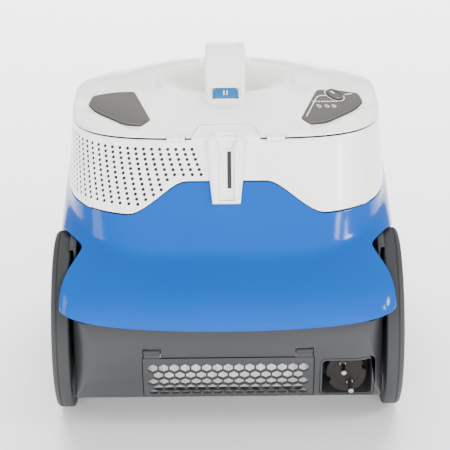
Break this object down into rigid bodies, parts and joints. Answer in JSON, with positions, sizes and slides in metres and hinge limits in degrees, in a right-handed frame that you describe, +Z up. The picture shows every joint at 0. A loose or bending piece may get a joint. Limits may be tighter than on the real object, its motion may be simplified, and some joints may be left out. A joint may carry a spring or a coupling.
{
  "type": "canister vacuum cleaner",
  "caption": "Canister vacuum with blue skirt, white body and hinged lid, carry handle, pedals, rear wheels, casters, exhaust door, cord reel, motor and water tank.",
  "frame": {"origin": "on the floor, under the middle of the bounding box", "axes": "+X to the right-hand side seen from behind, +Y towards the nose with the hose socket, +Z up"},
  "size_m": [0.318, 0.4703, 0.311],
  "materials": {
    "tub_grey": "fine-textured moulded plastic",
    "hood_blue": "high-gloss blue shell",
    "shell_white": "glossy white shell",
    "inner_grey": "moulded grey plastic",
    "filter_white": "pleated filter paper",
    "rubber": "soft rubber",
    "steel": "plain steel",
    "aluminium": "pressed aluminium",
    "copper": "enamelled copper windings on a laminated core",
    "black_plastic": "black moulded plastic",
    "cord_black": "flexible cord sheath",
    "board_green": "circuit board",
    "tank_clear": "smoky translucent plastic",
    "wheel_grey": "moulded grey plastic",
    "tyre": "grey elastomer",
    "silver_paint": "satin silver-grey lacquer",
    "button_blue": "satin blue"
  },
  "bodies": {
    "chassis": {"base_tub": "tub_grey", "hood": "hood_blue", "upper_shell": "shell_white", "parking_rail": "shell_white", "inner_deck": "inner_grey", "exhaust_filter_frame": "shell_white", "exhaust_filter_media": "filter_white", "plug_recess": "tub_grey", "motor_housing": "inner_grey", "motor_housing_cover": "inner_grey", "motor_mounts": "rubber", "motor_can": "steel", "stator": "copper", "fan_cover": "steel", "motor_bearings": "steel", "carbon_brushes": "black_plastic", "intake_duct": "inner_grey", "reel_bracket": "inner_grey", "rewind_spring_case": "steel", "circuit_board": "board_green", "power_switch": "black_plastic", "water_tank": "tank_clear", "tank_cover": "tank_clear", "tank_seal": "rubber", "tank_inlet": "tub_grey", "hose_socket": "tub_grey", "rear_axles": "steel", "hinge_brackets": "shell_white", "lid_hinge_pins": "steel", "base_screws": "steel"},
    "left_wheel": {"left_rear_wheel": "wheel_grey", "left_tyre": "tyre", "left_hub_cap": "silver_paint"},
    "right_wheel": {"right_rear_wheel": "wheel_grey", "right_tyre": "tyre", "right_hub_cap": "silver_paint"},
    "left_caster": {"left_caster_fork": "steel"},
    "left_roller": {"left_caster_wheel": "tyre"},
    "right_caster": {"right_caster_fork": "steel"},
    "right_roller": {"right_caster_wheel": "tyre"},
    "lid_assembly": {"lid": "shell_white", "carry_handle": "shell_white", "lid_hinge_leaves": "shell_white"},
    "latch": {"latch_bolt": "steel"},
    "button": {"lid_button": "button_blue"},
    "rewind_control": {"rewind_pedal": "silver_paint"},
    "power_control": {"power_pedal": "silver_paint"},
    "knob": {"power_knob": "silver_paint"},
    "reel": {"cord_drum": "tub_grey", "wound_cord": "cord_black"},
    "plug": {"plug_body": "black_plastic", "plug_pins": "steel", "cord_lead": "cord_black"},
    "brake": {"reel_brake": "black_plastic"},
    "rotor": {"motor_rotor": "steel", "impeller": "aluminium"},
    "rear_door": {"exhaust_door": "inner_grey"}
  },
  "joints": [
    {"name": "left_wheel_spin", "type": "hinge", "parent": "chassis", "child": "left_wheel", "pos_m": [-0.15, -0.135, 0.0815], "axis": [1, 0, 0], "continuous": true},
    {"name": "right_wheel_spin", "type": "hinge", "parent": "chassis", "child": "right_wheel", "pos_m": [0.15, -0.135, 0.0815], "axis": [1, 0, 0], "continuous": true},
    {"name": "left_caster_swivel", "type": "hinge", "parent": "chassis", "child": "left_caster", "pos_m": [-0.09, 0.16, 0.035], "axis": [0, 0, 1], "continuous": true},
    {"name": "left_caster_roll", "type": "hinge", "parent": "left_caster", "child": "left_roller", "pos_m": [-0.09, 0.151, 0.013], "axis": [1, 0, 0], "continuous": true},
    {"name": "right_caster_swivel", "type": "hinge", "parent": "chassis", "child": "right_caster", "pos_m": [0.09, 0.16, 0.035], "axis": [0, 0, 1], "continuous": true},
    {"name": "right_caster_roll", "type": "hinge", "parent": "right_caster", "child": "right_roller", "pos_m": [0.09, 0.151, 0.013], "axis": [1, 0, 0], "continuous": true},
    {"name": "lid_hinge", "type": "hinge", "parent": "chassis", "child": "lid_assembly", "pos_m": [0, -0.1255, 0.253], "axis": [1, 0, 0], "range_deg": [0, 70]},
    {"name": "latch_slide", "type": "slide", "parent": "lid_assembly", "child": "latch", "axis": [0, -1, 0], "range_m": [0, 0.005]},
    {"name": "lid_button_press", "type": "slide", "parent": "lid_assembly", "child": "button", "axis": [0, 0.7431, -0.6691], "range_m": [0, 0.003], "stiffness_N_per_m": 600},
    {"name": "rewind_press", "type": "slide", "parent": "lid_assembly", "child": "rewind_control", "axis": [0, 0, -1], "range_m": [0, 0.004], "stiffness_N_per_m": 900, "springref_m": -0.001},
    {"name": "power_press", "type": "slide", "parent": "lid_assembly", "child": "power_control", "axis": [0, 0, -1], "range_m": [0, 0.004], "stiffness_N_per_m": 900, "springref_m": -0.001},
    {"name": "knob_turn", "type": "hinge", "parent": "power_control", "child": "knob", "pos_m": [0.102, -0.0415, 0.26525], "axis": [0.3239, -0.1947, 0.9258], "range_deg": [0, 270]},
    {"name": "reel_turn", "type": "hinge", "parent": "chassis", "child": "reel", "pos_m": [0.098, -0.097, 0.107], "axis": [1, 0, 0], "range_deg": [-44.9, 0]},
    {"name": "plug_pull", "type": "slide", "parent": "chassis", "child": "plug", "axis": [0, -1, 0], "range_m": [0, 0.04]},
    {"name": "brake_swing", "type": "hinge", "parent": "chassis", "child": "brake", "pos_m": [0.072, -0.069, 0.119], "axis": [1, 0, 0], "range_deg": [-8.2, 0]},
    {"name": "rotor_spin", "type": "hinge", "parent": "chassis", "child": "rotor", "pos_m": [-0.0325, -0.083, 0.06], "axis": [0, 0, 1], "continuous": true},
    {"name": "door_hinge", "type": "hinge", "parent": "chassis", "child": "rear_door", "pos_m": [0, -0.2184, 0.086], "axis": [-1, 0, 0], "range_deg": [0, 75]}
  ],
  "couplings": [
    {"joint": "latch_slide", "follows": "lid_button_press", "ratio": 1.6666},
    {"joint": "plug_pull", "follows": "reel_turn", "m_per_rad": -0.051},
    {"joint": "brake_swing", "follows": "rewind_press", "rad_per_m": -34.9}
  ]
}
